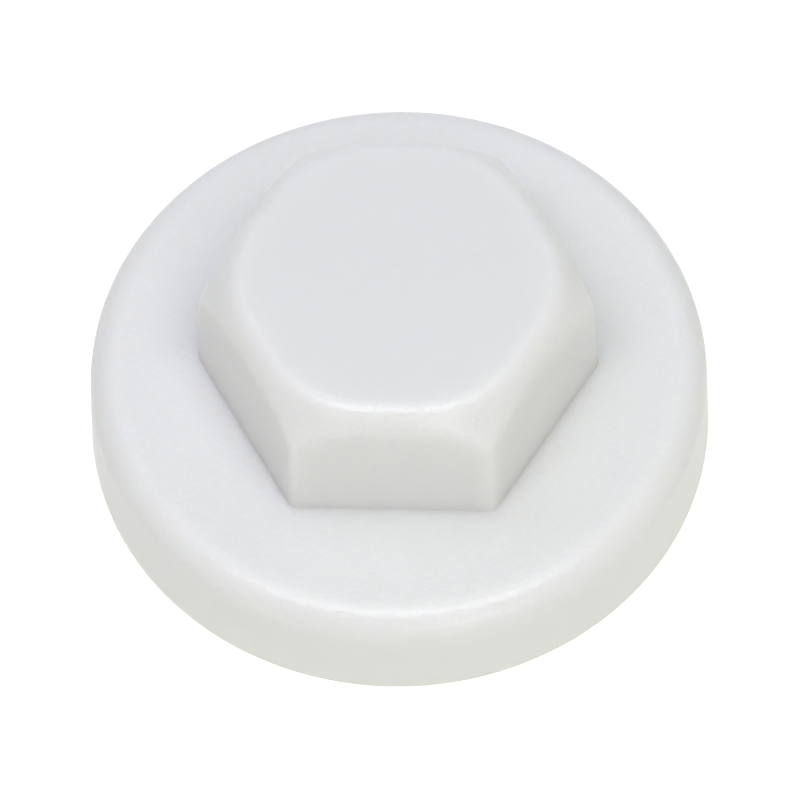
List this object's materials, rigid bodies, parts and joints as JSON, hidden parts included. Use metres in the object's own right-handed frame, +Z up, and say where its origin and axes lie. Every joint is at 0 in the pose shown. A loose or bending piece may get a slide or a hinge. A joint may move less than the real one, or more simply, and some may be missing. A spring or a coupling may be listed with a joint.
{
  "type": "screw cover cap",
  "caption": "Push-on plastic cap with a hexagonal cover on a round flange, to hide a hexagon-head roofing screw and its washer.",
  "frame": {"origin": "centre of the round rim's underside, on the surface the cap stands on", "axes": "+Z up the axis through the hexagon, -Y towards one of the hexagon's flats, +X towards one of its corners"},
  "size_m": [0.019, 0.019, 0.0083],
  "materials": {
    "white_plastic": "soft white moulded plastic with a fine eroded grain and slightly polished edges"
  },
  "bodies": {
    "root": {"cap": "white_plastic"}
  },
  "joints": []
}
